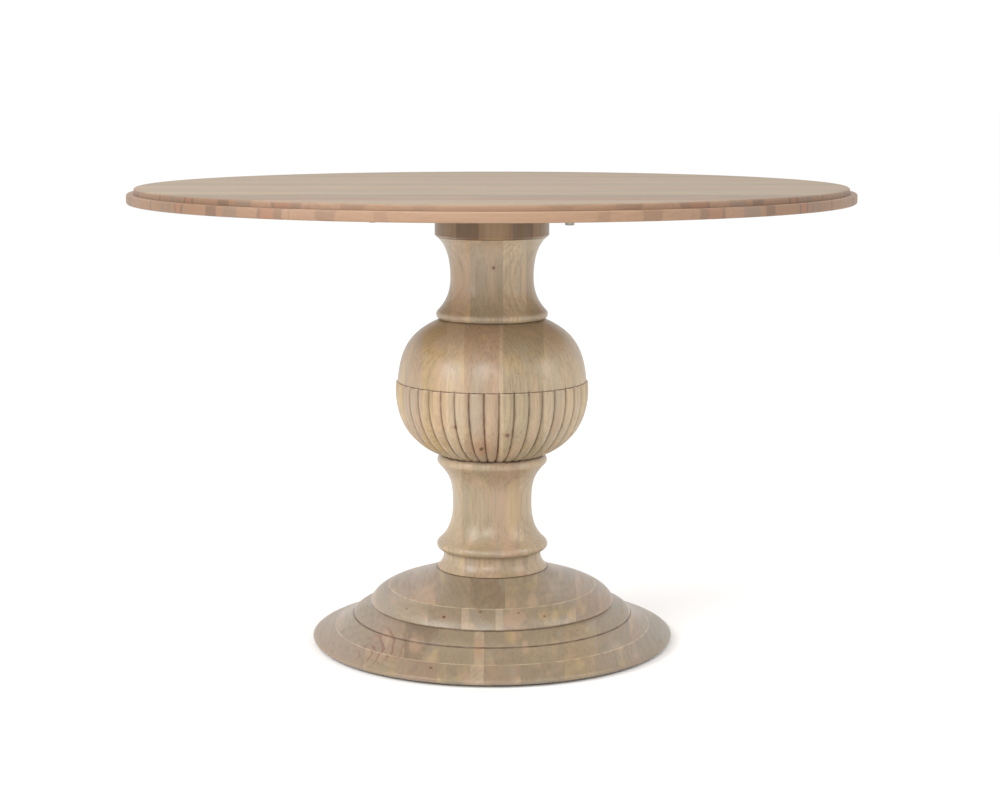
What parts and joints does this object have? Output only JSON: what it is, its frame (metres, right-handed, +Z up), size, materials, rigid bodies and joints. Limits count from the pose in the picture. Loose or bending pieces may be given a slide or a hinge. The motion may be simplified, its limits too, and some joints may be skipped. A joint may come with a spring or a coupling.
{
  "type": "round pedestal table",
  "caption": "Round wooden dining table: a boarded disc top with a stepped edge on a turned column with a ribbed ball, standing on a domed, moulded round base.",
  "frame": {"origin": "on the floor, on the column's axis", "axes": "+Z up along the column's axis; +X to the right and -Y towards the viewer in the picture; the top's boards run along X"},
  "size_m": [1.2192, 1.2192, 0.787],
  "materials": {
    "top_wood": "boards of a pale hardwood such as mango, satin",
    "column_wood": "glued-up blocks of the same pale hardwood, satin",
    "base_wood": "glued-up blocks of the same pale hardwood, satin",
    "plate_wood": "the same hardwood, unfinished",
    "dowel_wood": "beech dowel, unfinished",
    "bolt_steel": "zinc plated, dulled",
    "screw_steel": "yellow passivated",
    "insert_brass": "plain brass",
    "glide_nylon": "dark nylon"
  },
  "bodies": {
    "root": {"top_board_1": "top_wood", "top_board_2": "top_wood", "top_board_3": "top_wood", "top_board_4": "top_wood", "top_board_5": "top_wood", "top_board_6": "top_wood", "top_board_7": "top_wood", "top_board_8": "top_wood", "top_board_9": "top_wood", "top_board_10": "top_wood", "top_board_11": "top_wood", "top_board_12": "top_wood", "top_board_13": "top_wood", "top_board_14": "top_wood", "top_board_15": "top_wood", "top_board_16": "top_wood", "mounting_plate": "plate_wood", "column_collar": "column_wood", "upper_neck": "column_wood", "ball": "column_wood", "lower_neck": "column_wood", "foot_ring": "column_wood", "dome_upper": "base_wood", "dome_lower": "base_wood", "plinth_upper": "base_wood", "plinth_lower": "base_wood", "top_bolt_1": "bolt_steel", "top_washer_1": "bolt_steel", "threaded_insert_1": "insert_brass", "collar_screw_1": "screw_steel", "top_bolt_2": "bolt_steel", "top_washer_2": "bolt_steel", "threaded_insert_2": "insert_brass", "collar_screw_2": "screw_steel", "top_bolt_3": "bolt_steel", "top_washer_3": "bolt_steel", "threaded_insert_3": "insert_brass", "collar_screw_3": "screw_steel", "top_bolt_4": "bolt_steel", "top_washer_4": "bolt_steel", "threaded_insert_4": "insert_brass", "collar_screw_4": "screw_steel", "tie_rod": "bolt_steel", "tie_washer_upper": "bolt_steel", "tie_nut_upper": "bolt_steel", "tie_washer_lower": "bolt_steel", "tie_nut_lower": "bolt_steel", "dowel_1": "dowel_wood", "dowel_2": "dowel_wood", "dowel_3": "dowel_wood", "glide_1": "glide_nylon", "glide_2": "glide_nylon", "glide_3": "glide_nylon", "glide_4": "glide_nylon", "glide_5": "glide_nylon", "glide_6": "glide_nylon"}
  },
  "joints": []
}
